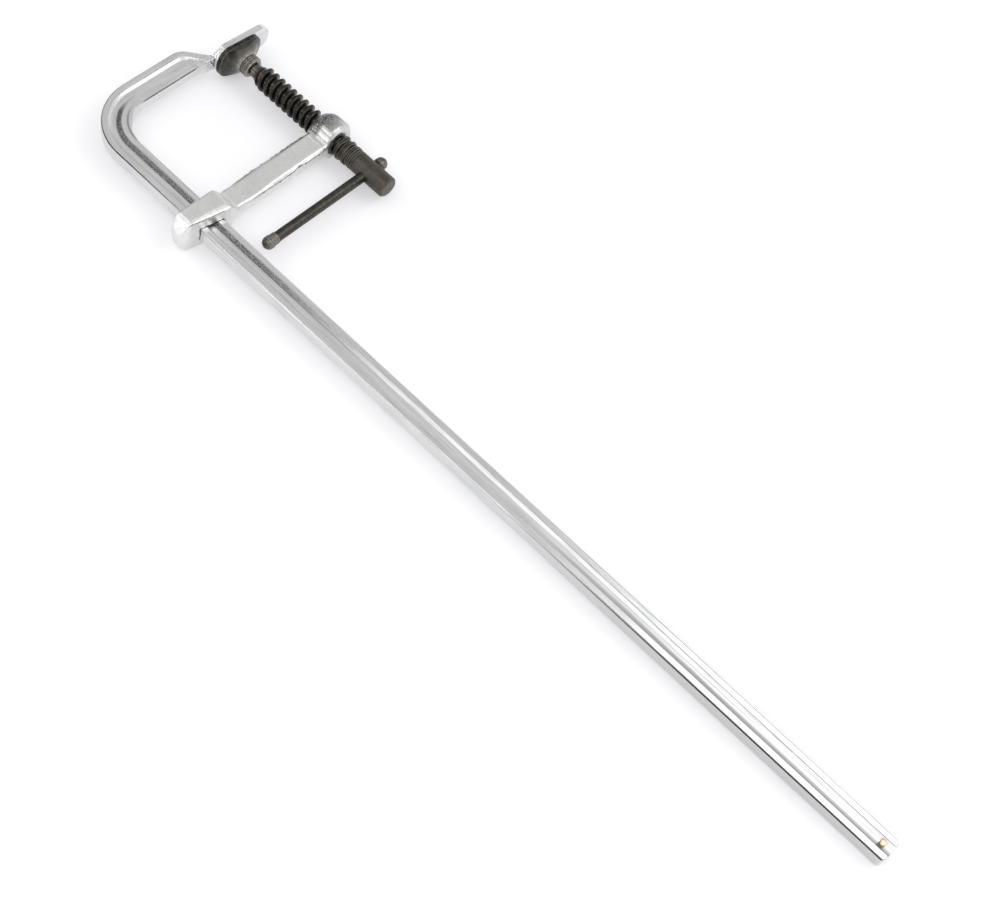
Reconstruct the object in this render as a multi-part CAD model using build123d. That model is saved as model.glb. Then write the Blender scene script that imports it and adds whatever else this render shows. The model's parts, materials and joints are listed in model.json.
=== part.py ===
from build123d import *
import math
import os

# Bar clamp, lying flat and shut. Millimetres.
# +X runs along the rail to its free end, +Y from the rail towards the screw, +Z up.
# The origin is the middle of the underside of the box round the whole clamp.

# Rail and fixed arm
overall_length = 508.0
rail_width = 12.7
rail_thickness = 8.0
rail_edge_radius = 0.8
rail_end_corner = 2.2
fixed_arm_width = 13.9
outer_bend_radius = 29.5
inner_bend_radius = 19.0
groove_width = 6.0
groove_depth = 1.5
groove_lip = 0.4
groove_wall_run = 1.4
groove_floor_radius = 1.4
groove_tail = 14.0
groove_tail_radius = 4.5
web_ramp = 8.0
web_ramp_radius = 12.0

# Fixed jaw
throat = 77.6
jaw_face_inset = 16.8
jaw_plate_root = 4.3
jaw_plate_tip = 3.1
jaw_half_width = 7.8
jaw_tip_half_width = 6.8
jaw_tip_reach = 22.0
jaw_tip_radius = 6.2
jaw_root_reach = 7.2
shoulder_reach = 24.0
neck_reach = 13.2
shoulder_radius = 9.0
neck_radius = 5.0

# Stop pin
pin_radius = 1.6
pin_inset = 5.4
pin_proud = 0.9
pin_dome = 0.5

# Sliding arm
arm_gap = 60.2
arm_width = 12.7
beam_thickness = 8.2
beam_chamfer = 1.2
slot_clearance = 0.35
head_back_wall = 9.8
head_front_wall = 12.5
head_half_height = 10.2
head_width_back = 9.6
head_width_front = 14.5
head_draft = 7.0
head_slant_start = 3.8
head_slant_radius = 8.0
head_slope_length = 4.2
head_foot_length = 4.2
head_foot_height = 1.1
head_foot_radius = 5.0
head_back_lean = 5.0
head_back_flat = 2.0
head_back_radius = 6.0
head_lower_lean = 1.4
head_lower_radius = 5.0
head_corner_radius = 5.2
head_edge_radius = 3.0
facet_height = 1.4
facet_back = 2.0
facet_front = 5.0
boss_radius = 10.4
boss_near_reach = 2.0
boss_near_radius = 7.6
boss_near_slope = 3.8
boss_far_radius = 8.6
boss_far_slope = 2.3
boss_soft_radius = 4.0
boss_edge_radius = 0.8
boss_ramp_reach = 9.0
boss_ramp_angle = 34.0

# Screw
thread_radius = 6.35
thread_depth = 2.1
thread_pitch = 4.2
thread_crest_share = 0.44
thread_root_share = 0.7
thread_crest_round = 0.6
thread_lead = 0.2
thread_run_in = 4.8
thread_run_out = 13.4
thread_rise = 3.5
thread_scuff = 0.25
thread_clearance = 0.25
ball_radius = 4.2
neck_rod_radius = 2.9
neck_gap = 0.8
shoulder_rod_radius = 3.7
shoulder_length = 2.6
shoulder_edge = 0.3
shoulder_taper = 0.6
screw_head_radius = 5.65
screw_length = 100.1
screw_chamfer = 1.0

# Swivel pad
pad_length = 12.6
pad_rim_radius = 14.0
pad_rim_thickness = 2.4
pad_rim_step = 0.9
pad_rim_slope = 0.3
pad_half_height = 8.6
pad_corner_radius = 6.0
pad_turn = -6.0
pad_flare_sag = 0.46
pad_collar_radius = 5.75
pad_collar_length = 5.2
pad_collar_chamfer = 1.0
socket_depth = 8.0
socket_clearance = 0.1
lip_radius = 3.5
ring_depth = 0.25
ring_width = 0.5
ring_spacing = 1.8

# Tommy bar
rod_radius = 2.65
rod_clearance = 0.1
rod_inset = 13.3
bar_length = 83.0
bar_rail_gap = 5.0
cap_radius = 3.35
cap_band = 1.4
cap_step = 0.3
cap_wall = 0.35
near_cap_length = 8.2
far_cap_length = 5.4
cap_gap = 0.3

# Places that follow from the sizes
fixed_outer_x = -overall_length / 2
rail_end_x = overall_length / 2
fixed_inner_x = fixed_outer_x + fixed_arm_width
jaw_x = fixed_outer_x + jaw_face_inset
ball_x = jaw_x + socket_depth
arm_x = jaw_x + arm_gap
arm_middle_x = arm_x + arm_width / 2
boss_near_x = arm_x - boss_near_reach
boss_far_x = arm_x + arm_width
rod_x = ball_x + screw_length - rod_inset
overall_width = head_back_wall + rail_width + throat + jaw_tip_reach
rail_back_y = head_back_wall - overall_width / 2
rail_inner_y = rail_back_y + rail_width
rail_middle_y = rail_back_y + rail_width / 2
screw_y = rail_inner_y + throat
shoulder_y = screw_y - shoulder_reach
jaw_root_y = screw_y - jaw_root_reach
jaw_neck_y = screw_y - neck_reach
slant = (Vector(jaw_x - jaw_plate_root, jaw_neck_y) - Vector(fixed_outer_x, shoulder_y)).normalized()
bar_seat_y = screw_y + screw_head_radius + cap_gap + far_cap_length
bar_near_y = max(bar_seat_y - bar_length, rail_inner_y + bar_rail_gap)
bar_far_y = bar_near_y + bar_length
middle_z = max(boss_radius, head_half_height, pad_half_height, jaw_half_width)
face_z = middle_z + rail_thickness / 2
screw_plane = Plane(origin=(ball_x, screw_y, middle_z), x_dir=(0, 1, 0), z_dir=(1, 0, 0))

# Places along the screw, from the middle of its ball
collar_end = pad_length - socket_depth
shoulder_start = collar_end + neck_gap
shoulder_end = shoulder_start + shoulder_length
boss_start = boss_near_x - ball_x
boss_end = boss_far_x - ball_x
head_start = boss_end + thread_run_out
thread_start = shoulder_end - thread_lead
thread_root_radius = thread_radius - thread_depth


# A body centred on the middle plane, from its outline seen from above.
def plate_from_plan(points, radii, thickness):
    outline = make_face(FilletPolyline(points, radius=radii, close=True))
    body = extrude(outline, amount=thickness)
    return Pos(0, 0, middle_z - thickness / 2) * body


# The same body on the other side of the middle plane.
def turned_over(body):
    return mirror(body, about=Plane.XY.offset(middle_z))


# The forging's plain bent shape, with its long edges rounded.
def bent_rail():
    jaw_back_x = jaw_x - jaw_plate_root
    points = [
        (rail_end_x, rail_back_y),
        (fixed_outer_x, rail_back_y),
        (fixed_outer_x, shoulder_y),
        (jaw_back_x, jaw_neck_y),
        (jaw_back_x, jaw_root_y),
        (jaw_x - rail_edge_radius, jaw_root_y),
        (fixed_inner_x, shoulder_y),
        (fixed_inner_x, rail_inner_y),
        (rail_end_x, rail_inner_y),
    ]
    radii = [
        rail_end_corner,
        outer_bend_radius,
        shoulder_radius,
        neck_radius,
        0,
        0,
        shoulder_radius,
        inner_bend_radius,
        rail_end_corner,
    ]
    body = plate_from_plan(points, radii, rail_thickness)
    levels = body.edges().group_by(Axis.Z)
    return fillet(levels[0] + levels[-1], rail_edge_radius)


# Where a line that keeps this far inside the outer edge turns at the shoulder.
def shoulder_corner(inset):
    return Vector(fixed_outer_x + inset, shoulder_y - inset * slant.X / (1 + slant.Y))


# The groove along one wide face. It follows the bend and then the shoulder.
def groove_cutter():
    corner = shoulder_corner(rail_width / 2)
    path = FilletPolyline(
        (rail_end_x + groove_width, rail_middle_y),
        (corner.X, rail_middle_y),
        corner,
        corner + slant * groove_tail,
        radius=[outer_bend_radius - rail_width / 2, groove_tail_radius],
    )
    half = groove_width / 2
    floor_half = half - groove_wall_run
    section = [
        (-half - groove_lip, groove_lip),
        (-half, -groove_lip),
        (-floor_half, -groove_depth),
        (floor_half, -groove_depth),
        (half, -groove_lip),
        (half + groove_lip, groove_lip),
    ]
    corners = [0, groove_lip, groove_floor_radius, groove_floor_radius, groove_lip, 0]
    start = Plane(origin=path @ 0, x_dir=(0, -1, 0), z_dir=path % 0)
    face = start * make_face(FilletPolyline(section, radius=corners, close=True))
    return Pos(0, 0, face_z) * sweep(face, path=path)


# What lies over a line seen from the side. The line is drawn from the rail towards the neck.
def over_line(points, radii):
    side = Plane(origin=(fixed_outer_x, 0, face_z), x_dir=(0, 1, 0), z_dir=(1, 0, 0))
    profile = side * make_face(FilletPolyline(points, radius=radii, close=True))
    return extrude(profile, amount=overall_length + groove_width)


# Past the bend the groove's inner wall fades, and the fixed arm is a plain web.
def web_cutter():
    web_x = fixed_outer_x + rail_width / 2
    inside_x = fixed_inner_x + groove_width
    bend_end_y = rail_inner_y + inner_bend_radius
    rib = (rail_width - groove_width) / 2 + groove_lip
    corner = shoulder_corner(rib)
    turn = corner + slant * ((web_x - corner.X) / slant.X)
    neck = corner + slant * ((inside_x - corner.X) / slant.X)
    outline = make_face(Polyline((web_x, rail_inner_y), turn, neck, (inside_x, rail_inner_y), close=True))
    block = Pos(0, 0, face_z - groove_depth) * extrude(outline, amount=groove_depth + groove_lip)
    ramp = [
        (bend_end_y - web_ramp, groove_lip),
        (bend_end_y, -groove_depth),
        (screw_y, -groove_depth),
        (screw_y, groove_lip),
    ]
    return block & over_line(ramp, [0, web_ramp_radius, 0, 0])


# Groove and web as one recess, which runs out short of the neck.
def recess_cutter():
    start_y = rail_back_y - groove_width
    ramp = [
        (start_y, groove_lip),
        (start_y, -groove_depth),
        (shoulder_y + groove_lip, -groove_depth),
        (shoulder_y + web_ramp, groove_lip),
    ]
    return (groove_cutter() + web_cutter()) & over_line(ramp, [0, 0, web_ramp_radius, 0])


# The tongue that stands square to the screw, thinner towards its tip.
def jaw_plate():
    tip_y = screw_y + jaw_tip_reach
    half = rail_thickness / 2
    front = [
        (jaw_neck_y, -half),
        (jaw_root_y, -jaw_half_width),
        (tip_y, -jaw_tip_half_width),
        (tip_y, jaw_tip_half_width),
        (jaw_root_y, jaw_half_width),
        (jaw_neck_y, half),
    ]
    radii = [0, neck_radius, jaw_tip_radius, jaw_tip_radius, neck_radius, 0]
    across = Plane(origin=(jaw_x, 0, middle_z), x_dir=(0, 1, 0), z_dir=(1, 0, 0))
    outline = across * make_face(FilletPolyline(front, radius=radii, close=True))
    tongue = extrude(outline, amount=-2 * jaw_plate_root)
    side = [
        (jaw_x, jaw_neck_y),
        (jaw_x, tip_y),
        (jaw_x - jaw_plate_tip, tip_y),
        (jaw_x - jaw_plate_root, jaw_neck_y),
    ]
    slab = extrude(make_face(Polyline(side, close=True)), amount=4 * jaw_half_width)
    return tongue & Pos(0, 0, middle_z - 2 * jaw_half_width) * slab


def rail_with_fixed_arm():
    recess = recess_cutter()
    body = bent_rail() - recess - turned_over(recess)
    body = body + jaw_plate()
    hole = Pos(rail_end_x - pin_inset, rail_middle_y, middle_z) * Cylinder(pin_radius, 2 * rail_thickness)
    return body - hole


# A plain pin with domed ends, which stand proud of the wide faces to stop the sliding arm.
def stop_pin():
    pin = Cylinder(pin_radius, rail_thickness + 2 * pin_proud)
    pin = fillet(pin.edges().filter_by(GeomType.CIRCLE), pin_dome)
    return Pos(rail_end_x - pin_inset, rail_middle_y, middle_z) * pin


# The head wraps the rail, with a draft both ways from the parting line at half height.
# Its far face runs back at a slant towards the clamp's back.
def arm_head():
    back_y = rail_back_y - head_back_wall
    front_y = rail_inner_y + head_front_wall
    out = head_half_height * math.tan(math.radians(head_draft))
    slant_y = rail_inner_y + head_slant_start
    plan = [
        (arm_x - out, back_y),
        (arm_x - out, slant_y),
        (arm_x + beam_chamfer, front_y),
        (arm_x + arm_width - beam_chamfer, front_y),
        (arm_x + head_width_front, slant_y),
        (arm_x + head_width_back, back_y),
    ]
    plan_radii = [head_corner_radius, head_slant_radius, 0, 0, head_slant_radius, head_corner_radius]
    outline = Pos(0, 0, middle_z) * make_face(FilletPolyline(plan, radius=plan_radii, close=True))
    upper = extrude(outline, amount=head_half_height, taper=head_draft)
    block = upper + turned_over(upper)
    half = beam_thickness / 2
    foot_y = front_y - head_foot_length
    top_y = foot_y - head_slope_length
    top_back_y = back_y + head_back_lean
    front_side = [
        (top_y, head_half_height),
        (foot_y, half + head_foot_height),
        (front_y, half - beam_chamfer),
    ]
    upper_side = [(back_y, head_back_flat), (top_back_y, head_half_height)] + front_side
    lower_side = [(y, -z) for y, z in reversed(front_side)]
    lower_side += [(back_y + head_lower_lean, -head_half_height), (back_y, -head_back_flat)]
    front_radii = [head_edge_radius, head_foot_radius, 0]
    side_radii = [head_back_radius, head_edge_radius] + front_radii
    side_radii += list(reversed(front_radii)) + [head_lower_radius, 0]
    across = Plane(origin=(arm_x - arm_width, 0, middle_z), x_dir=(0, 1, 0), z_dir=(1, 0, 0))
    profile = across * make_face(FilletPolyline(upper_side + lower_side, radius=side_radii, close=True))
    return block & extrude(profile, amount=3 * arm_width)


# The bright slanting facet that takes the far edge off the head's top.
def head_facet():
    top_z = middle_z + head_half_height
    back = Vector(arm_x + head_width_back - facet_back, rail_back_y, top_z)
    front = Vector(arm_x + head_width_front - facet_front, rail_inner_y, top_z)
    along = front - back
    down = Vector(facet_front, 0, -facet_height)
    plane = Plane(origin=back, x_dir=along, z_dir=down.cross(along))
    size = 2 * head_half_height
    return plane * Pos(0, 0, size / 2) * Box(4 * size, 4 * size, size)


# The beam from the head to the boss, with its four long edges taken off.
def arm_beam():
    start_y = rail_inner_y + head_front_wall / 2
    length = screw_y - start_y
    beam = Box(arm_width, length, beam_thickness)
    beam = chamfer(beam.edges().filter_by(Axis.Y), beam_chamfer)
    return Pos(arm_middle_x, start_y + length / 2, middle_z) * beam


# The boss tapers towards the jaw, has a slanting far edge, and a flat ramp up from the beam.
def arm_boss():
    outline = [
        (0, boss_start),
        (boss_near_radius, boss_start),
        (boss_radius, boss_start + boss_near_slope),
        (boss_radius, boss_end - boss_far_slope),
        (boss_far_radius, boss_end),
        (0, boss_end),
    ]
    radii = [0, boss_edge_radius, boss_soft_radius, boss_edge_radius, boss_edge_radius, 0]
    face = make_face(FilletPolyline(outline, radius=radii, close=True))
    boss = screw_plane * revolve(Plane.XZ * face, axis=Axis.Z)
    size = 4 * boss_radius
    slice_off = Pos(0, boss_ramp_reach + size / 2, 0) * Box(size, size, size)
    ramp = Pos(arm_middle_x, screw_y, middle_z) * Rot(X=180 - boss_ramp_angle) * slice_off
    return boss - ramp - turned_over(ramp)


def sliding_arm():
    facet = head_facet()
    body = arm_head() - facet - turned_over(facet) + arm_beam() + arm_boss()
    slot = Box(4 * arm_width, rail_width + 2 * slot_clearance, rail_thickness + 2 * slot_clearance)
    body = body - Pos(arm_middle_x, rail_middle_y, middle_z) * slot
    return body - boss_thread()


# One turn of the thread's ridge about the screw's axis, grown all round by a clearance.
def thread_turn(grown):
    inner = -thread_depth / 4
    crest = thread_depth + grown
    shoulder = crest - thread_crest_round
    root_half = thread_pitch * thread_root_share / 2 + grown
    crest_half = thread_pitch * thread_crest_share / 2 + grown
    path = Helix(pitch=thread_pitch, height=thread_pitch, radius=thread_root_radius)
    section = Plane(origin=path @ 0, x_dir=(1, 0, 0), z_dir=path % 0)
    flanks = Polyline(
        (shoulder, crest_half),
        (inner, root_half),
        (inner, -root_half),
        (shoulder, -crest_half),
    )
    top = ThreePointArc(flanks @ 1, (crest, 0), flanks @ 0)
    return sweep(section * make_face(flanks + top), path=path, is_frenet=True)


# The bore and thread inside the boss, in step with the screw's.
def boss_thread():
    boss_length = boss_end - boss_start
    first = math.floor((boss_start - thread_start) / thread_pitch) - 1
    last = first + math.ceil(boss_length / thread_pitch) + 3
    turn = thread_turn(thread_clearance)
    bore = Cylinder(thread_root_radius + thread_clearance, 2 * boss_length)
    cutters = [Pos(0, 0, boss_start + boss_length / 2) * bore]
    for number in range(first, last):
        cutters.append(Pos(0, 0, thread_start + number * thread_pitch) * turn)
    return [screw_plane * cutter for cutter in cutters]


# The turned shape of the screw without its thread, from the ball to the chamfered end.
def screw_core():
    outline = [
        (0, 0),
        (neck_rod_radius, 0),
        (neck_rod_radius, shoulder_start),
        (shoulder_rod_radius, shoulder_start + shoulder_edge),
        (shoulder_rod_radius, shoulder_end),
        (thread_root_radius, shoulder_end + shoulder_taper),
        (thread_root_radius, boss_end),
        (screw_head_radius - thread_scuff, boss_end + thread_rise),
        (screw_head_radius, head_start),
        (screw_head_radius, screw_length - screw_chamfer),
        (screw_head_radius - screw_chamfer, screw_length),
        (0, screw_length),
    ]
    return revolve(Plane.XZ * make_face(Polyline(outline, close=True)), axis=Axis.Z)


# The shape that the thread stays inside, low at its first turn and at its last ones.
def thread_limit():
    outer = thread_radius + thread_lead
    outline = [
        (0, shoulder_end),
        (shoulder_rod_radius, shoulder_end),
        (outer, shoulder_end + thread_run_in),
        (outer, boss_end),
        (screw_head_radius, head_start),
        (0, head_start),
    ]
    return revolve(Plane.XZ * make_face(Polyline(outline, close=True)), axis=Axis.Z)


def clamp_screw():
    turns = math.ceil((head_start - thread_start) / thread_pitch)
    turn = thread_turn(0)
    limit = thread_limit()
    ridges = [limit & Pos(0, 0, thread_start + number * thread_pitch) * turn for number in range(turns)]
    bore = Rot(Y=90) * Cylinder(rod_radius + rod_clearance, 4 * thread_radius)
    hole = Pos(0, 0, screw_length - rod_inset) * bore
    return screw_plane * (screw_core() + ridges + Sphere(ball_radius) - hole)


# The pad: a rim with two flats, a flare, and a collar closed round the screw's ball.
def swivel_pad():
    rim_front = -socket_depth
    rim_back = rim_front + pad_rim_thickness
    collar_start = collar_end - pad_collar_length
    flare_radius = pad_rim_radius - pad_rim_step
    rim = Polyline(
        (0, rim_front),
        (pad_rim_radius, rim_front),
        (pad_rim_radius, rim_back),
        (flare_radius, rim_back + pad_rim_slope),
    )
    flare = SagittaArc(rim @ 1, (pad_collar_radius, collar_start), pad_flare_sag)
    collar = Polyline(
        (pad_collar_radius, collar_start),
        (pad_collar_radius, collar_end - pad_collar_chamfer),
        (pad_collar_radius - pad_collar_chamfer, collar_end),
        (0, collar_end),
        (0, rim_front),
    )
    body = revolve(Plane.XZ * make_face(rim + flare + collar), axis=Axis.Z)
    oval = Circle(pad_rim_radius) & Rectangle(4 * pad_rim_radius, 2 * pad_half_height)
    oval = fillet(oval.vertices(), pad_corner_radius)
    body = body & extrude(oval, amount=2 * pad_length, both=True)
    body = body - Sphere(ball_radius + socket_clearance)
    body = body - Cylinder(lip_radius, 2 * pad_length, align=(Align.CENTER, Align.CENTER, Align.MIN))
    ring = Cylinder(2 * pad_collar_radius, ring_width) - Cylinder(pad_collar_radius - ring_depth, ring_width)
    for number in range(2):
        body = body - Pos(0, 0, collar_end - pad_collar_chamfer - (number + 0.5) * ring_spacing) * ring
    return screw_plane * Rot(Z=pad_turn) * body


def tommy_bar():
    length = bar_length - 2 * cap_radius
    return Pos(rod_x, (bar_far_y + bar_near_y) / 2, middle_z) * Rot(X=90) * Cylinder(rod_radius, length)


# A cap pressed over the rod's end, from its round tip to its open mouth.
def tommy_cap(length):
    band_end = cap_radius + cap_band
    outline = Polyline(
        (0, 0),
        (0, length),
        (rod_radius + cap_wall, length),
        (cap_radius - cap_step, band_end + cap_step),
        (cap_radius, band_end),
        (cap_radius, cap_radius),
    )
    slant = math.sqrt(0.5)
    dome = ThreePointArc(outline @ 1, (cap_radius * slant, cap_radius * (1 - slant)), (0, 0))
    body = revolve(Plane.XZ * make_face(outline + dome), axis=Axis.Z)
    bore = Cylinder(rod_radius, length, align=(Align.CENTER, Align.CENTER, Align.MIN))
    return body - Pos(0, 0, cap_radius) * bore


def tommy_cap_near():
    return Pos(rod_x, bar_near_y, middle_z) * Rot(X=-90) * tommy_cap(near_cap_length)


def tommy_cap_far():
    return Pos(rod_x, bar_far_y, middle_z) * Rot(X=90) * tommy_cap(far_cap_length)


nodes = {
    "rail_with_fixed_arm": rail_with_fixed_arm(),
    "stop_pin": stop_pin(),
    "sliding_arm": sliding_arm(),
    "clamp_screw": clamp_screw(),
    "swivel_pad": swivel_pad(),
    "tommy_bar": tommy_bar(),
    "tommy_cap_near": tommy_cap_near(),
    "tommy_cap_far": tommy_cap_far(),
}

os.makedirs("parts", exist_ok=True)
for name, body in nodes.items():
    export_step(body, "parts/" + name + ".step")
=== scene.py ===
import json
import math

import bmesh
import bpy
from mathutils import Euler, Matrix, Vector, noise

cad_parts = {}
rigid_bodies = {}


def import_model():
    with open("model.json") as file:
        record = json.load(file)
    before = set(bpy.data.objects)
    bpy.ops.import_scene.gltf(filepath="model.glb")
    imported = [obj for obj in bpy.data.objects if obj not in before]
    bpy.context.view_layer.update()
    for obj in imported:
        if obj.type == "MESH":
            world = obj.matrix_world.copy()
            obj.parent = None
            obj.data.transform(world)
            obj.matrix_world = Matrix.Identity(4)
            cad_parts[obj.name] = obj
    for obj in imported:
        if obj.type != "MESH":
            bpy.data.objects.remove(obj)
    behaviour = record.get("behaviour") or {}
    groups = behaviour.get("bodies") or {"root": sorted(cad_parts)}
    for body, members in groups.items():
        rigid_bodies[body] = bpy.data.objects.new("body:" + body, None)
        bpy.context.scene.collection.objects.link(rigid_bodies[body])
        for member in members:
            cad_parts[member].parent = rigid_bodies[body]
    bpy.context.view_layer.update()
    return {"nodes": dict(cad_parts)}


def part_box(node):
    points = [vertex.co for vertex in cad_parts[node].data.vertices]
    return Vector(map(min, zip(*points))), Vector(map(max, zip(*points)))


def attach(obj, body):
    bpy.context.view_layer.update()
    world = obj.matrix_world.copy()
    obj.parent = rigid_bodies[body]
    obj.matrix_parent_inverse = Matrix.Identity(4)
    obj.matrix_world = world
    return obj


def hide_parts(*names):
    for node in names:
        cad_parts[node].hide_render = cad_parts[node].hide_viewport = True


# a bar clamp lying shut on a pale table, in metres
for leftover in list(bpy.data.objects):
    bpy.data.objects.remove(leftover)
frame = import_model()
nodes = frame["nodes"]
print("frame loaded:", ", ".join(sorted(nodes)))

mm = 0.001

# sockets of a Mix node, which share their names: its plain values, its colours and the mixed colour
firstValue = 2
secondValue = 3
firstColour = 6
secondColour = 7
mixedColour = 2


def linear(hexColour, alpha=1.0):
    # an sRGB hex colour as the linear values that a socket takes
    channels = [int(hexColour[i:i + 2], 16) / 255 for i in (1, 3, 5)]
    return [c / 12.92 if c <= 0.04045 else ((c + 0.055) / 1.055) ** 2.4 for c in channels] + [alpha]


def addNode(tree, kind, settings=None, links=None):
    # a link comes from a socket, or from a node's first output
    node = tree.nodes.new(kind)
    for name, value in (settings or {}).items():
        if isinstance(name, str) and hasattr(node, name):
            setattr(node, name, value)
        else:
            node.inputs[name].default_value = value
    for name, source in (links or {}).items():
        socket = source.outputs[0] if isinstance(source, bpy.types.Node) else source
        tree.links.new(socket, node.inputs[name])
    return node


def newMaterial(name):
    material = bpy.data.materials.new(name)
    material.use_nodes = True
    material.node_tree.nodes.clear()
    return material, material.node_tree


def finishWith(tree, settings, links):
    shader = addNode(tree, "ShaderNodeBsdfPrincipled", settings, links)
    addNode(tree, "ShaderNodeOutputMaterial", links={"Surface": shader})


def stretched(low, high, toLow=0.0, toHigh=1.0):
    # settings of a Map Range that turns low and high into toLow and toHigh
    return {"From Min": low, "From Max": high, "To Min": toLow, "To Max": toHigh}


def eased(none, full):
    # settings of a Map Range that grows softly from 0 at none to 1 at full
    return {"interpolation_type": "SMOOTHSTEP", "From Min": none, "From Max": full}


def overlap(tree, first, *others):
    # on where all the masks are
    for mask in others:
        first = addNode(tree, "ShaderNodeMath", {"operation": "MULTIPLY"}, {0: first, 1: mask})
    return first


def band(tree, value, low, high, soft):
    # 1 from low to high, fading out over soft on both sides
    rise = addNode(tree, "ShaderNodeMapRange", eased(low - soft, low), {"Value": value})
    fall = addNode(tree, "ShaderNodeMapRange", eased(high + soft, high), {"Value": value})
    return overlap(tree, rise, fall)


def painted(tree, colour, *layers):
    # each layer's shade over the colour, where the layer's mask is on
    for shade, mask in layers:
        mix = addNode(tree, "ShaderNodeMix", {"data_type": "RGBA", secondColour: linear(shade)},
                      {0: mask, firstColour: colour})
        colour = mix.outputs[mixedColour]
    return colour


def relief(tree, *layers):
    # bumps on top of each other, each from its height, strength and depth
    links = {}
    for height, strength, depth in layers:
        links["Height"] = height
        bump = addNode(tree, "ShaderNodeBump", {"Strength": strength, "Distance": depth}, links)
        links["Normal"] = bump
    return bump


def dress(nodeName, material):
    # puts the finish on a piece that keeps its shape
    mesh = nodes[nodeName].data
    for slot in range(len(mesh.materials)):
        mesh.materials[slot] = material


# zinc plated rail
railLook = {
    "bright": "#F0F0EE",
    "cool": "#DFE0E2",
    "pitTint": "#BFC0C0",
    # painted shade: the back face darker towards the free end, where it mirrors the floor in the bar's
    # shadow
    "backPaintedShade": "#D3D3D2",                      # back face, towards the free end
    # painted shade on the groove's outer wall and on the bar's inner face
    "paintedShadeGrey": "#ABABA9",                      # groove's outer wall, and the bar's inner face
    "scaleAndShade": "#403F3E",                         # rolled skin with painted shade in the groove, and painted shade lines along two edges
    "flangeRoughness": 0.24,
    "grooveRoughness": 0.36,
    "bloom": 0.55,                              # how chalky the groove's outer lip is
    # sizes of the patterns: the lines and the grain are drawn coarser than the real ones, so that they show
    "lineSpacing": 0.45 * mm,
    "lineStretch": 0.02,                        # how slowly the lines change along the bar
    "grain": 0.55 * mm,
    "dint": 0.9 * mm,
    "clouds": 18 * mm,
    # strength and depth of the bumps
    "lineBump": (0.5, 0.02 * mm),
    "grainBump": (0.9, 0.12 * mm),
    "dintBump": (1.0, 0.35 * mm),
    # contrasts: a noise's low and high value, and what they become
    "speckles": (0.3, 0.62, 0.45, 1.0),
    "pits": (0.45, 0.8),
    "mottling": (0.3, 0.7, -0.04, 0.05),
    # bands by the distance in from the outer edge: from, to, and how softly they end
    "bendRadius": 29.5 * mm,                    # of that edge, where the bar bends into the fixed arm
    "groove": (4.6 * mm, 8.6 * mm, 1.2 * mm),
    "innerWall": (7.6 * mm, 9.1 * mm, 0.9 * mm),
    "outerWall": (4.2 * mm, 5.8 * mm, 0.5 * mm),
    "outerLip": (3.4 * mm, 4.5 * mm, 0.4 * mm),
    "outerEdge": (-0.1 * mm, 0.3 * mm, 0.25 * mm),
    "backFace": (-1 * mm, 0.2 * mm, 0.2 * mm),
    "insideFace": (12.2 * mm, 13 * mm, 0.2 * mm),
    # bands along one axis
    "outerEdgeZ": (13.65 * mm, 14.25 * mm, 0.15 * mm),
    "armEdgeX": (-240.75 * mm, -240.45 * mm, 0.3 * mm),
    "armEdgeY": (-18 * mm, 13 * mm, 3 * mm),
    "neckY": (20 * mm, 36 * mm, 6 * mm),        # where the hammer marks are
    # where a finish starts along one axis, and where it is full
    "scaleAndShadeX": (-30 * mm, -140 * mm),
    "barY": (-26 * mm, -34 * mm),
    "freeEndX": (-10 * mm, 150 * mm),
    "bendX": (-100 * mm, -230 * mm),
}


def insetFromEdge(tree, place, look):
    # distance in from the outer edge, round the bend as well
    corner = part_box("rail_with_fixed_arm")[0]
    centre = (corner.x + look["bendRadius"], corner.y + look["bendRadius"], 0)
    toCentre = addNode(tree, "ShaderNodeVectorMath", {"operation": "SUBTRACT", 0: centre}, {1: place})
    outside = addNode(tree, "ShaderNodeVectorMath", {"operation": "MAXIMUM", 1: (0, 0, 0)}, {0: toCentre})
    flat = addNode(tree, "ShaderNodeVectorMath", {"operation": "MULTIPLY", 1: (1, 1, 0)}, {0: outside})
    reach = addNode(tree, "ShaderNodeVectorMath", {"operation": "LENGTH"}, {0: flat}).outputs["Value"]
    return addNode(tree, "ShaderNodeMath", {"operation": "SUBTRACT", 0: look["bendRadius"]}, {1: reach})


def drawnLines(tree, split, inset, look):
    # faint lines along the bar, which follow the bend
    x, y, z = split.outputs
    along = addNode(tree, "ShaderNodeMath", {"operation": "SUBTRACT"}, {0: x, 1: y})
    slow = addNode(tree, "ShaderNodeMath", {"operation": "MULTIPLY", 1: look["lineStretch"]}, {0: along})
    rolled = addNode(tree, "ShaderNodeCombineXYZ", links={"X": slow, "Y": inset, "Z": z})
    settings = {"Scale": 1 / look["lineSpacing"], "Detail": 3}
    return addNode(tree, "ShaderNodeTexNoise", settings, {"Vector": rolled})


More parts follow.
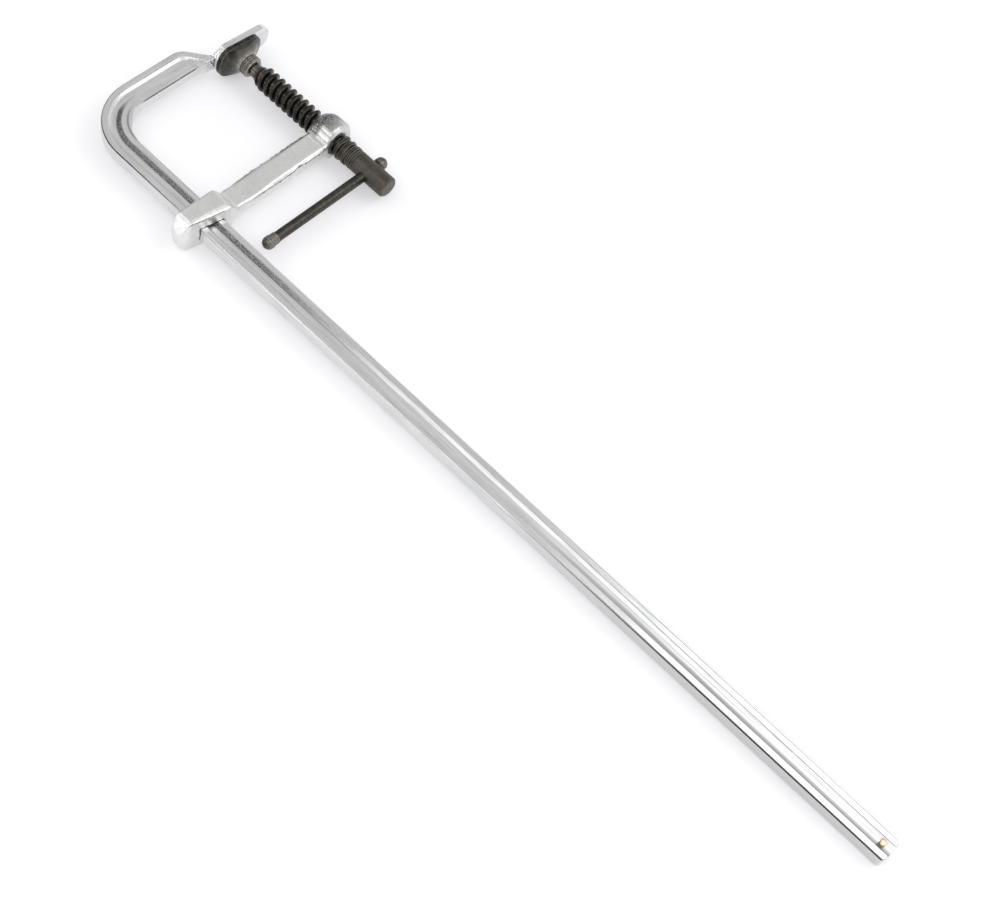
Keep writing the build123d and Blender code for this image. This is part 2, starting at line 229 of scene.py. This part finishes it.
def railMasks(tree, split, inset, speckles, look):
    x, y, z = split.outputs
    scaleAndShadeFade = addNode(tree, "ShaderNodeMapRange", eased(*look["scaleAndShadeX"]), {"Value": x})
    onBar = addNode(tree, "ShaderNodeMapRange", eased(*look["barY"]), {"Value": y})
    freeEnd = addNode(tree, "ShaderNodeMapRange", eased(*look["freeEndX"]), {"Value": x})
    bend = addNode(tree, "ShaderNodeMapRange", eased(*look["bendX"]), {"Value": x})
    bothEnds = addNode(tree, "ShaderNodeMath", {"operation": "MAXIMUM"}, {0: freeEnd, 1: bend})
    # rolled skin with painted shade on the groove's inner wall, a broken line of painted shade along the
    # fixed arm's edge, and a line of painted shade on the outer edge
    wallScaleAndShade = overlap(tree, band(tree, inset, *look["innerWall"]), scaleAndShadeFade, onBar, speckles)
    armEdgeShade = overlap(tree, band(tree, x, *look["armEdgeX"]), band(tree, y, *look["armEdgeY"]), speckles)
    edgeShadeLine = overlap(tree, band(tree, inset, *look["outerEdge"]), band(tree, z, *look["outerEdgeZ"]),
                      bothEnds)
    edges = addNode(tree, "ShaderNodeMath", {"operation": "MAXIMUM"}, {0: armEdgeShade, 1: edgeShadeLine})
    scaleAndShade = addNode(tree, "ShaderNodeMath", {"operation": "MAXIMUM"}, {0: wallScaleAndShade, 1: edges})
    outerWall = overlap(tree, band(tree, inset, *look["outerWall"]), freeEnd)
    insideFace = overlap(tree, band(tree, inset, *look["insideFace"]), bothEnds, onBar)
    return {
        "scaleAndShade": scaleAndShade,
        # painted shade on the groove's outer wall, towards the free end, and on the bar's inner face near
        # both ends
        "dull": addNode(tree, "ShaderNodeMath", {"operation": "MAXIMUM"}, {0: outerWall, 1: insideFace}),
        # painted shade on the back face, towards the free end
        "back": overlap(tree, band(tree, inset, *look["backFace"]), freeEnd),
        "bloom": overlap(tree, band(tree, inset, *look["outerLip"]), onBar),
    }


def zincPlatedDrawnSteel(look):
    # bright zinc over drawn bar: cool grey, faint lines along the length, duller in the rolled groove
    material, tree = newMaterial("zincPlatedDrawnSteel")
    place = addNode(tree, "ShaderNodeTexCoord").outputs["Object"]
    split = addNode(tree, "ShaderNodeSeparateXYZ", links={0: place})
    inset = insetFromEdge(tree, place, look)
    lines = drawnLines(tree, split, inset, look)
    here = {"Vector": place}
    clouds = addNode(tree, "ShaderNodeTexNoise", {"Scale": 1 / look["clouds"], "Detail": 4}, here)
    grain = addNode(tree, "ShaderNodeTexNoise", {"Scale": 1 / look["grain"], "Detail": 2, "Roughness": 0.7},
                    here)
    speckles = addNode(tree, "ShaderNodeMapRange", stretched(*look["speckles"]), {"Value": grain})
    masks = railMasks(tree, split, inset, speckles, look)
    zinc = addNode(tree, "ShaderNodeMix", {"data_type": "RGBA", firstColour: linear(look["bright"]),
                                           secondColour: linear(look["cool"])}, {0: clouds})
    pits = addNode(tree, "ShaderNodeMapRange", stretched(*look["pits"]), {"Value": lines})
    # the zinc with its pits, then painted shade on the back face and the walls, then rolled skin with
    # painted shade
    colour = painted(tree, zinc.outputs[mixedColour], (look["pitTint"], pits),
                     (look["backPaintedShade"], masks["back"]), (look["paintedShadeGrey"], masks["dull"]),
                     (look["scaleAndShade"], masks["scaleAndShade"]))
    gloss = addNode(tree, "ShaderNodeMapRange",
                    stretched(0, 1, look["flangeRoughness"], look["grooveRoughness"]),
                    {"Value": band(tree, inset, *look["groove"])})
    mottled = addNode(tree, "ShaderNodeMapRange", stretched(*look["mottling"]), {"Value": lines})
    roughness = addNode(tree, "ShaderNodeMath", {"operation": "ADD"}, {0: gloss, 1: mottled})
    metallic = addNode(tree, "ShaderNodeMath", {"operation": "MULTIPLY_ADD", 1: -look["bloom"], 2: 1.0},
                       {0: masks["bloom"]})
    # hammer marks on the neck and the jaw's root
    dints = addNode(tree, "ShaderNodeTexVoronoi", {"feature": "SMOOTH_F1", "Scale": 1 / look["dint"]}, here)
    neck = band(tree, split.outputs["Y"], *look["neckY"])
    normal = relief(tree, (lines, *look["lineBump"]),
                    (overlap(tree, masks["scaleAndShade"], grain), *look["grainBump"]),
                    (overlap(tree, neck, dints), *look["dintBump"]))
    finishWith(tree, {}, {"Base Color": colour, "Roughness": roughness, "Metallic": metallic,
                          "Normal": normal})
    return material


dress("rail_with_fixed_arm", zincPlatedDrawnSteel(railLook))
print("rail plated")

# zinc plated sliding arm
armLook = {
    "bright": "#F4F4F2",
    "dull": "#E2E2E0",
    "pitTint": "#D2D3D2",
    "sandAndShade": "#555450",                          # the unpolished near side of the boss, grainy and darkened with painted shade
    "paintedShade": "#4A4A48",                         # painted shade beside the flash, under the head's edge and in the file marks
    "roughness": 0.34,
    "roughnessSpread": (-0.07, 0.1),
    "filedSmoother": 0.05,
    # sizes of the patterns: the grain is drawn coarser than the real one, so that it shows
    "clouds": 9 * mm,
    "peel": 1.2 * mm,
    "grain": 0.4 * mm,
    "filing": 0.8 * mm,                         # file marks on the ramp below the boss
    # strength and depth of the bumps
    "filingBump": (1.0, 0.45 * mm),
    "peelBump": (0.8, 0.16 * mm),
    "grainBump": (0.7, 0.05 * mm),
    # contrasts: a noise's low and high value, and what they become
    "pits": (0.5, 0.75),
    "sandSpeckles": (0.32, 0.52),
    "deepMarks": (0.5, 0.42, 0, 0.4),
    "grainSpread": (0.25, 0.75),
    # where the sand and its painted shade start along one axis, and where they are full
    "nearSideX": (-160 * mm, -174.8 * mm),
    "rimX": (-171.2 * mm, -173.6 * mm),         # past the ramp, where nothing is filed
    "bossY": (29 * mm, 32 * mm),
    # the ramp below the boss: which way it faces, and its bands along that way and along y
    "rampFacing": (0, -0.83, 0.56),
    "rampReach": (-17.85 * mm, -15.55 * mm, 0.3 * mm),
    "rampY": (26.5 * mm, 40 * mm, 0.8 * mm),
    # remaking the surface
    "weld": 0.002 * mm,
    "skin": 0.36 * mm,                          # size of its new faces
    "softening": 12,                            # rounds of smoothing
    "slotY": (-52.1 * mm, -37.7 * mm),
    "slotZ": (5.6 * mm, 15.2 * mm),
    "boreRadius": 6.9 * mm,
    # low dents of two sizes
    "dent": 0.13 * mm,
    "wideDents": 7 * mm,
    "smallDents": 2.6 * mm,
    "smallShare": 0.6,
    # hollow in the beam's top beside the head
    "dish": 0.8 * mm,
    "dishMiddle": -16 * mm,
    "dishReach": 12 * mm,
    # trimmed flash along the beam's sides
    "beamY": (-22 * mm, 29 * mm),
    "sideways": 0.55,                           # how far a normal leans out on those sides
    "flash": 0.75 * mm,
    "flashHeight": 12.9 * mm,
    "flashHalfWidth": 0.6 * mm,
    "flashWander": 0.9 * mm,
    "wanderLength": 8 * mm,
    "nicks": (0.7, 0.6),                        # the flash's mean size, and how much it varies
    "nickLength": 2.2 * mm,
    "flashEnds": 4 * mm,
    "shadeHalfWidth": 0.3 * mm,
    "shadeStrength": 1.8,
    # painted shade line where the head's top meets its side towards the free end
    "headLineX": 0.5,                           # how far a normal leans that way, at least
    "headLineZ": (0.42, 0.74),                  # and how far up
    "headLineAbove": 12 * mm,
    "headLineShade": 0.8,
}


def sandAndShadeMask(tree, split, filed, look):
    # the near side of the boss, apart from its filed ramp: grainy, with painted shade
    x = split.outputs["X"]
    nearSide = addNode(tree, "ShaderNodeMapRange", eased(*look["nearSideX"]), {"Value": x})
    rim = addNode(tree, "ShaderNodeMapRange", eased(*look["rimX"]), {"Value": x})
    onBoss = addNode(tree, "ShaderNodeMapRange", eased(*look["bossY"]), {"Value": split.outputs["Y"]})
    unfiled = addNode(tree, "ShaderNodeMapRange", stretched(0, 1, 1, 0), {"Value": filed})
    blasted = addNode(tree, "ShaderNodeMath", {"operation": "MAXIMUM"},
                      {0: rim, 1: overlap(tree, nearSide, unfiled)})
    return overlap(tree, blasted, onBoss)


def zincPlatedForging(look):
    # zinc over a drop forging: matte, faintly hammered, with a fine even grain
    material, tree = newMaterial("zincPlatedForging")
    place = addNode(tree, "ShaderNodeTexCoord").outputs["Object"]
    split = addNode(tree, "ShaderNodeSeparateXYZ", links={0: place})
    here = {"Vector": place}
    clouds = addNode(tree, "ShaderNodeTexNoise", {"Scale": 1 / look["clouds"], "Detail": 5}, here)
    peel = addNode(tree, "ShaderNodeTexNoise", {"Scale": 1 / look["peel"], "Detail": 3}, here)
    grain = addNode(tree, "ShaderNodeTexNoise", {"Scale": 1 / look["grain"], "Detail": 2, "Roughness": 0.65},
                    here)
    # file marks across the ramp
    outward = addNode(tree, "ShaderNodeVectorMath", {"operation": "DOT_PRODUCT", 1: look["rampFacing"]},
                      {0: place}).outputs["Value"]
    filed = overlap(tree, band(tree, outward, *look["rampReach"]),
                    band(tree, split.outputs["Y"], *look["rampY"]))
    stroke = addNode(tree, "ShaderNodeCombineXYZ", links={"Y": split.outputs["Y"]})
    marks = addNode(tree, "ShaderNodeTexNoise", {"Scale": 1 / look["filing"], "Detail": 1},
                    {"Vector": stroke})
    deep = addNode(tree, "ShaderNodeMapRange", stretched(*look["deepMarks"]), {"Value": marks})
    zinc = addNode(tree, "ShaderNodeMix", {"data_type": "RGBA", firstColour: linear(look["dull"]),
                                           secondColour: linear(look["bright"])}, {0: clouds})
    pits = addNode(tree, "ShaderNodeMapRange", stretched(*look["pits"]), {"Value": peel})
    speckles = addNode(tree, "ShaderNodeMapRange", stretched(*look["sandSpeckles"]), {"Value": grain})
    # painted shade along the flash and the head's edge, kept on the mesh, and in the deep file marks
    paintedShade = addNode(tree, "ShaderNodeAttribute", {"attribute_name": "paintedShade"}).outputs["Fac"]
    paintedShadeMask = addNode(tree, "ShaderNodeMath", {"operation": "MAXIMUM"},
                    {0: paintedShade, 1: overlap(tree, filed, deep)})
    sandAndShadeOn = overlap(tree, sandAndShadeMask(tree, split, filed, look), speckles)
    colour = painted(tree, zinc.outputs[mixedColour], (look["pitTint"], overlap(tree, pits, grain)),
                     (look["sandAndShade"], sandAndShadeOn), (look["paintedShade"], paintedShadeMask))
    smoothest, roughest = [look["roughness"] + spread for spread in look["roughnessSpread"]]
    plain = addNode(tree, "ShaderNodeMapRange", stretched(*look["grainSpread"], smoothest, roughest),
                    {"Value": grain})
    roughness = addNode(tree, "ShaderNodeMath", {"operation": "MULTIPLY_ADD", 1: -look["filedSmoother"]},
                        {0: filed, 2: plain})
    normal = relief(tree, (overlap(tree, filed, marks), *look["filingBump"]), (peel, *look["peelBump"]),
                    (grain, *look["grainBump"]))
    finishWith(tree, {"Metallic": 1.0}, {"Base Color": colour, "Roughness": roughness, "Normal": normal})
    return material


def remadeSkin(look):
    # a mesh of small even faces over the arm's own solid
    solid = nodes["sliding_arm"].data.copy()
    work = bmesh.new()
    work.from_mesh(solid)
    bmesh.ops.remove_doubles(work, verts=work.verts, dist=look["weld"])
    work.to_mesh(solid)
    work.free()
    blank = bpy.data.objects.new("armBlank", solid)
    bpy.context.collection.objects.link(blank)
    skin = blank.modifiers.new("skin", "REMESH")
    skin.mode = "VOXEL"
    skin.voxel_size = look["skin"]
    depsgraph = bpy.context.evaluated_depsgraph_get()
    mesh = bpy.data.meshes.new_from_object(blank.evaluated_get(depsgraph))
    bpy.data.objects.remove(blank)
    return mesh


def fitted(look, axis, point):
    # the slot and the threaded bore keep their exact walls
    backY, innerY = look["slotY"]
    lowZ, highZ = look["slotZ"]
    inSlot = backY < point.y < innerY and lowZ < point.z < highZ
    inBore = (point - axis).yz.length < look["boreRadius"]
    return inSlot or inBore


def dentsAt(look, point):
    # how far the surface swells or sinks here
    wide = noise.noise(point / look["wideDents"])
    small = noise.noise(point / look["smallDents"])
    return look["dent"] * (wide + look["smallShare"] * small)


def dishAt(look, point):
    # how deep the hollow is here, soft at its middle and its ends
    dip = max(0, 1 - abs(point.y - look["dishMiddle"]) / look["dishReach"])
    return look["dish"] * dip * dip * (3 - 2 * dip)


def flashAt(look, point):
    # how far the flash stands out here, and how dark its painted shade is
    wander = noise.noise(Vector((0, point.y / look["wanderLength"], point.x)))
    away = abs(point.z - look["flashHeight"] - look["flashWander"] * wander)
    mean, variation = look["nicks"]
    nicked = mean + variation * noise.noise(Vector((3, point.y / look["nickLength"], 0)))
    start, end = look["beamY"]
    ends = min(1, (point.y - start) / look["flashEnds"], (end - point.y) / look["flashEnds"])
    ridge = max(0, 1 - away / look["flashHalfWidth"])
    paintedShade = max(0, min(1, look["shadeStrength"] - away / look["shadeHalfWidth"]))
    return look["flash"] * ridge * nicked * ends, paintedShade * nicked * ends


def onHeadLine(look, v):
    # whether a vertex leans as the dark line does, and lies high enough on the head
    low, high = look["headLineZ"]
    onHead = v.co.y < look["slotY"][1] and v.co.z > look["headLineAbove"]
    return onHead and v.normal.x > look["headLineX"] and low < v.normal.z < high


def forgedArm(look):
    # the arm's own solid with the soft corners, low dents and trimmed flash of a forging
    screwLow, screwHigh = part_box("clamp_screw")
    axis = (screwLow + screwHigh) / 2
    mesh = remadeSkin(look)
    work = bmesh.new()
    work.from_mesh(mesh)
    paintedShade = work.verts.layers.float.new("paintedShade")
    soft = [v for v in work.verts if not fitted(look, axis, v.co)]
    for turn in range(look["softening"]):
        bmesh.ops.smooth_vert(work, verts=soft, factor=0.5, use_axis_x=True, use_axis_y=True,
                              use_axis_z=True)
    work.normal_update()
    start, end = look["beamY"]
    for v in soft:
        shift = dentsAt(look, v.co) - dishAt(look, v.co) * max(0, v.normal.z)
        if start < v.co.y < end and abs(v.normal.x) > look["sideways"]:
            # the flash stands out, with a line of painted shade on it
            flash, darkness = flashAt(look, v.co)
            shift += flash
            v[paintedShade] = darkness
        elif onHeadLine(look, v):
            v[paintedShade] = look["headLineShade"]
        v.co += v.normal * shift
        v.co.z = max(0, v.co.z)
    for face in work.faces:
        face.smooth = True
    work.to_mesh(mesh)
    work.free()
    mesh.name = "forged_arm"
    mesh.materials.clear()
    mesh.materials.append(zincPlatedForging(look))
    arm = bpy.data.objects.new("forged_arm", mesh)
    bpy.context.collection.objects.link(arm)
    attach(arm, "arm")
    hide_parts("sliding_arm")


forgedArm(armLook)
print("sliding arm forged")

# black oxide screw, pad and tommy bar
oxideLook = {
    "metallic": 0.9,
    "clouds": 3 * mm,
    # contrasts: a pattern's low and high value, and what they become
    "rubbing": (0.35, 0.75),
    "unevenness": (0.3, 0.7, -0.05, 0.07),
    "ringTops": (0.2, 0.9, 0, 0.7),
}
screwLook = {
    **oxideLook,
    "stations": [                               # x, colour and roughness along the screw
        (-225.0 * mm, "#6B6660", 0.30),
        (-219.0 * mm, "#5A554F", 0.26),
        (-215.0 * mm, "#2C2824", 0.24),
        (-166.0 * mm, "#2C2824", 0.24),
        (-150.0 * mm, "#47423C", 0.34),
        (-148.0 * mm, "#504B45", 0.46),
        (-129.8 * mm, "#504B45", 0.46),
        (-129.2 * mm, "#625D56", 0.46),
        (-125.0 * mm, "#625D56", 0.46),
    ],
    "rubbed": "#8A847B",
    "wear": 0.25,
    "grain": 0.5 * mm,
    "grainBump": (0.7, 0.03 * mm),
    "ringAxis": "X",
    "rings": (-164 * mm, -150.5 * mm, 1 * mm),  # turning marks from and to, and how softly they end
    "ringSpacing": 1.2 * mm,
    "ringBump": (1.0, 0.25 * mm),
}
padLook = {
    **oxideLook,
    # painted highlight in a pale line on the rim's edge, painted shade on the flare beside the rim, and a
    # paler collar, partly painted highlight
    "stations": [
        (-237.2 * mm, "#2A2725", 0.35),
        (-235.2 * mm, "#2A2725", 0.35),
        (-234.9 * mm, "#68645F", 0.30),
        (-234.5 * mm, "#353331", 0.25),
        (-232.5 * mm, "#403E3B", 0.22),
        (-231.0 * mm, "#625F5A", 0.22),
        (-229.8 * mm, "#A19C95", 0.22),
        (-224.6 * mm, "#9D9890", 0.26),
    ],
    "rubbed": "#77726B",
    "wear": 0.45,
    "grain": 0.6 * mm,
    "grainBump": (0.7, 0.05 * mm),
    "ringAxis": "X",
    "rings": (-229 * mm, -225.2 * mm, 1 * mm),
    "ringSpacing": 1.3 * mm,
    "ringBump": (1.0, 0.25 * mm),
}
barLook = {
    **oxideLook,
    "stations": [(-150 * mm, "#3F3C38", 0.3), (-120 * mm, "#3F3C38", 0.3)],
    "rubbed": "#6A665F",
    "wear": 0.45,
    "grain": 0.5 * mm,
    "grainBump": (0.7, 0.05 * mm),
}
capLook = {
    **oxideLook,
    # the caps are paler than the bar, partly as painted highlight on their domes
    "stations": [(-150 * mm, "#605C56", 0.22), (-120 * mm, "#605C56", 0.22)],
    "rubbed": "#A29D95",
    "wear": 0.6,
    "grain": 0.5 * mm,
    "grainBump": (0.7, 0.04 * mm),
    "ringAxis": "Y",
    "rings": (-30 * mm, -25 * mm, 1 * mm),      # on the near cap alone
    "ringSpacing": 1.5 * mm,
    "ringBump": (1.0, 0.125 * mm),
}


def finishAlong(tree, x, stations):
    # colour along the clamp, with the roughness as its alpha
    first = stations[0][0]
    last = stations[-1][0]
    along = addNode(tree, "ShaderNodeMapRange", stretched(first, last), {"Value": x})
    ramp = addNode(tree, "ShaderNodeValToRGB", links={0: along})
    marks = ramp.color_ramp.elements
    marks.remove(marks[-1])
    for where, shade, rough in stations:
        mark = marks[0] if where == first else marks.new((where - first) / (last - first))
        mark.color = linear(shade, rough)
    return ramp


def turningMarks(tree, split, look):
    # the height of rings round one axis, and their paler tops, partly rubbed and partly painted highlight
    axis = split.outputs[look["ringAxis"]]
    turned = band(tree, axis, *look["rings"])
    angle = addNode(tree, "ShaderNodeMath", {"operation": "MULTIPLY", 1: math.tau / look["ringSpacing"]},
                    {0: axis})
    rings = addNode(tree, "ShaderNodeMath", {"operation": "SINE"}, {0: angle})
    tops = addNode(tree, "ShaderNodeMapRange", stretched(*look["ringTops"]), {"Value": rings})
    return overlap(tree, turned, rings), overlap(tree, turned, tops)


def blackOxideSteel(name, look):
    # black oxide over turned steel: warm near-black with an oily sheen, a little paler where rubbed, and
    # paler ring tops that are partly painted highlight
    material, tree = newMaterial(name)
    place = addNode(tree, "ShaderNodeTexCoord").outputs["Object"]
    split = addNode(tree, "ShaderNodeSeparateXYZ", links={0: place})
    here = {"Vector": place}
    grain = addNode(tree, "ShaderNodeTexNoise", {"Scale": 1 / look["grain"], "Detail": 4}, here)
    clouds = addNode(tree, "ShaderNodeTexNoise", {"Scale": 1 / look["clouds"], "Detail": 4}, here)
    finish = finishAlong(tree, split.outputs["X"], look["stations"])
    uneven = addNode(tree, "ShaderNodeMapRange", stretched(*look["unevenness"]), {"Value": grain})
    roughness = addNode(tree, "ShaderNodeMath", {"operation": "ADD"},
                        {0: finish.outputs["Alpha"], 1: uneven})
    rubbed = addNode(tree, "ShaderNodeMapRange", stretched(*look["rubbing"], 0, look["wear"]),
                     {"Value": clouds})
    bumps = [(grain, *look["grainBump"])]
    if "rings" in look:
        height, tops = turningMarks(tree, split, look)
        # paler ring tops: partly rubbed, partly painted highlight
        rubbed = addNode(tree, "ShaderNodeMath", {"operation": "MAXIMUM"}, {0: rubbed, 1: tops})
        bumps.insert(0, (height, *look["ringBump"]))
    colour = painted(tree, finish.outputs["Color"], (look["rubbed"], rubbed))
    finishWith(tree, {"Metallic": look["metallic"]},
               {"Base Color": colour, "Roughness": roughness, "Normal": relief(tree, *bumps)})
    return material


dress("clamp_screw", blackOxideSteel("blackOxideScrew", screwLook))
dress("swivel_pad", blackOxideSteel("blackOxidePad", padLook))
dress("tommy_bar", blackOxideSteel("blackOxideBar", barLook))
capFinish = blackOxideSteel("blackOxideCap", capLook)
for cap in ("tommy_cap_near", "tommy_cap_far"):
    dress(cap, capFinish)
print("screw, pad and tommy bar blackened")

# copper stop pin
pinLook = {
    "copper": "#EAD6BF",
    "dull": "#BFA184",
    "roughness": 0.25,
    "tarnish": 0.7 * mm,
    "tarnishBump": (0.3, 0.03 * mm),
}


def copperRivet(look):
    # plain copper rivet: pinkish brown, a little tarnished
    material, tree = newMaterial("copperRivet")
    place = addNode(tree, "ShaderNodeTexCoord").outputs["Object"]
    clouds = addNode(tree, "ShaderNodeTexNoise", {"Scale": 1 / look["tarnish"], "Detail": 3},
                     {"Vector": place})
    colour = addNode(tree, "ShaderNodeMix", {"data_type": "RGBA", firstColour: linear(look["copper"]),
                                             secondColour: linear(look["dull"])}, {0: clouds})
    finishWith(tree, {"Metallic": 1.0, "Roughness": look["roughness"]},
               {"Base Color": colour.outputs[mixedColour],
                "Normal": relief(tree, (clouds, *look["tarnishBump"]))})
    return material


dress("stop_pin", copperRivet(pinLook))
print("stop pin coloured")

# white paper floor, tilted to touch the clamp where it stands
floorLook = {
    "size": 12,
    "head": (-0.1700, -0.0560, 0.0002),         # what touches the table: the sliding arm's head,
    "boss": (-0.1707, 0.0391, 0.0),             # its boss
    "pinEnd": (0.2486, -0.0449, 0.0055),        # and the pin's end
    "gap": 0.1 * mm,
    "white": "#E8E8EA",
    "lift": 0.29,
    "liftInMetal": 0.24,
    "liftColour": "#FCFCFF",
}


def whitePaper(look):
    # matt white paper: the lift brings it to white for the camera and in the metal, and keeps the shadow
    material, tree = newMaterial("whitePaper")
    paper = addNode(tree, "ShaderNodeBsdfDiffuse", {"Color": linear(look["white"])})
    path = addNode(tree, "ShaderNodeLightPath").outputs
    mirrored = addNode(tree, "ShaderNodeMath", {"operation": "MAXIMUM"},
                       {0: path["Is Glossy Ray"], 1: path["Is Transmission Ray"]})
    inMetal = addNode(tree, "ShaderNodeMath", {"operation": "MULTIPLY", 1: look["liftInMetal"]},
                      {0: mirrored})
    strength = addNode(tree, "ShaderNodeMath", {"operation": "MULTIPLY_ADD", 1: look["lift"]},
                       {0: path["Is Camera Ray"], 2: inMetal})
    lift = addNode(tree, "ShaderNodeEmission", {"Color": linear(look["liftColour"])}, {"Strength": strength})
    both = addNode(tree, "ShaderNodeAddShader", links={0: paper, 1: lift})
    addNode(tree, "ShaderNodeOutputMaterial", links={"Surface": both})
    return material


def layFloor(look):
    head, boss, pinEnd = [Vector(look[name]) for name in ("head", "boss", "pinEnd")]
    normal = (head - boss).cross(pinEnd - boss).normalized()
    turn = Vector((0, 0, 1)).rotation_difference(normal).to_matrix().to_4x4()
    place = Matrix.Translation(boss - Vector((0, 0, look["gap"])))
    work = bmesh.new()
    bmesh.ops.create_grid(work, x_segments=1, y_segments=1, size=look["size"] / 2)
    bmesh.ops.transform(work, matrix=place @ turn, verts=work.verts)
    mesh = bpy.data.meshes.new("floor")
    work.to_mesh(mesh)
    work.free()
    mesh.materials.append(whitePaper(look))
    floor = bpy.data.objects.new("floor", mesh)
    bpy.context.collection.objects.link(floor)


layFloor(floorLook)
print("floor laid")

# room and soft boxes
roomLook = {
    "sky": 0.62,
    "horizon": 1.12,
    "horizonHeight": (0.42, 0.2),
    # each patch: which way it lies, the cosines of its rim and core, and its level
    "patches": [
        ((-0.36, -0.70, 0.62), 0.93, 0.985, 0.72),
        ((0.05, -0.93, 0.36), 0.92, 0.975, 0.06),
        ((-0.90, 0.42, 0.12), 0.86, 0.97, 0.30),
        ((-0.43, 0.58, 0.69), 0.975, 0.998, 0.76),
    ],
}
boxLook = {
    "backBox": {"place": (0.58, 0.66, 1.2), "aim": (0.12, -0.02, 0), "size": (1.2, 0.9), "power": 4.9},
    "frontBox": {"place": (0.20, -1.00, 1.5), "aim": (0.15, -0.05, 0), "size": (1.4, 1.3), "power": 7.4},
    "lowBox": {"place": (-0.64, -1.06, 0.25), "aim": (-0.17, 0.03, 0.02), "size": (0.5, 0.25), "power": 0.7},
    "topBox": {"place": (-0.69, -0.42, 0.95), "aim": (-0.17, 0, 0), "size": (0.4, 0.3), "power": 0.6},
}


def studioRoom(look):
    # a pale room that brightens towards the horizon, with patches that the metal shows
    world = bpy.data.worlds.new("studio")
    bpy.context.scene.world = world
    world.use_nodes = True
    tree = world.node_tree
    tree.nodes.clear()
    way = addNode(tree, "ShaderNodeTexCoord").outputs["Generated"]
    split = addNode(tree, "ShaderNodeSeparateXYZ", links={0: way})
    low = addNode(tree, "ShaderNodeMapRange", eased(*look["horizonHeight"]), {"Value": split.outputs["Z"]})
    level = addNode(tree, "ShaderNodeMix", {firstValue: look["sky"], secondValue: look["horizon"]}, {0: low})
    for side, rim, core, strength in look["patches"]:
        facing = addNode(tree, "ShaderNodeVectorMath",
                         {"operation": "DOT_PRODUCT", 1: Vector(side).normalized()}, {0: way})
        patch = addNode(tree, "ShaderNodeMapRange", eased(rim, core), {"Value": facing.outputs["Value"]})
        level = addNode(tree, "ShaderNodeMix", {secondValue: strength}, {0: patch, firstValue: level})
    background = addNode(tree, "ShaderNodeBackground", {"Color": linear("#FFFFFF")}, {"Strength": level})
    addNode(tree, "ShaderNodeOutputWorld", links={"Surface": background})


def softBox(name, look):
    # a plain lamp with a large soft face, turned to its aim
    light = bpy.data.lights.new(name, "AREA")
    light.shape = "RECTANGLE"
    light.size, light.size_y = look["size"]
    light.energy = look["power"]
    box = bpy.data.objects.new(name, light)
    bpy.context.collection.objects.link(box)
    place = Vector(look["place"])
    turn = (Vector(look["aim"]) - place).to_track_quat("-Z", "Y").to_matrix().to_4x4()
    box.matrix_world = Matrix.Translation(place) @ turn


studioRoom(roomLook)
for boxName, box in boxLook.items():
    softBox(boxName, box)
print("room lit")

# camera at the photograph's angle
cameraLook = {
    "place": (0.195333, -0.447236, 0.737806),
    "turn": (30.3892, -11.4797, 42.7595),       # degrees about x, y and z
    "lens": 67.73,                              # millimetres, on a sensor 36 wide
    "sensor": 36,
    "nearest": 10 * mm,
}


def setCamera(look):
    lens = bpy.data.cameras.new("camera")
    lens.lens = look["lens"]
    lens.sensor_width = look["sensor"]
    lens.clip_start = look["nearest"]
    camera = bpy.data.objects.new("camera", lens)
    bpy.context.collection.objects.link(camera)
    turn = Euler([math.radians(angle) for angle in look["turn"]]).to_matrix().to_4x4()
    camera.matrix_world = Matrix.Translation(look["place"]) @ turn
    bpy.context.scene.camera = camera


setCamera(cameraLook)
bpy.context.scene.view_settings.view_transform = "Standard"
print("camera set")
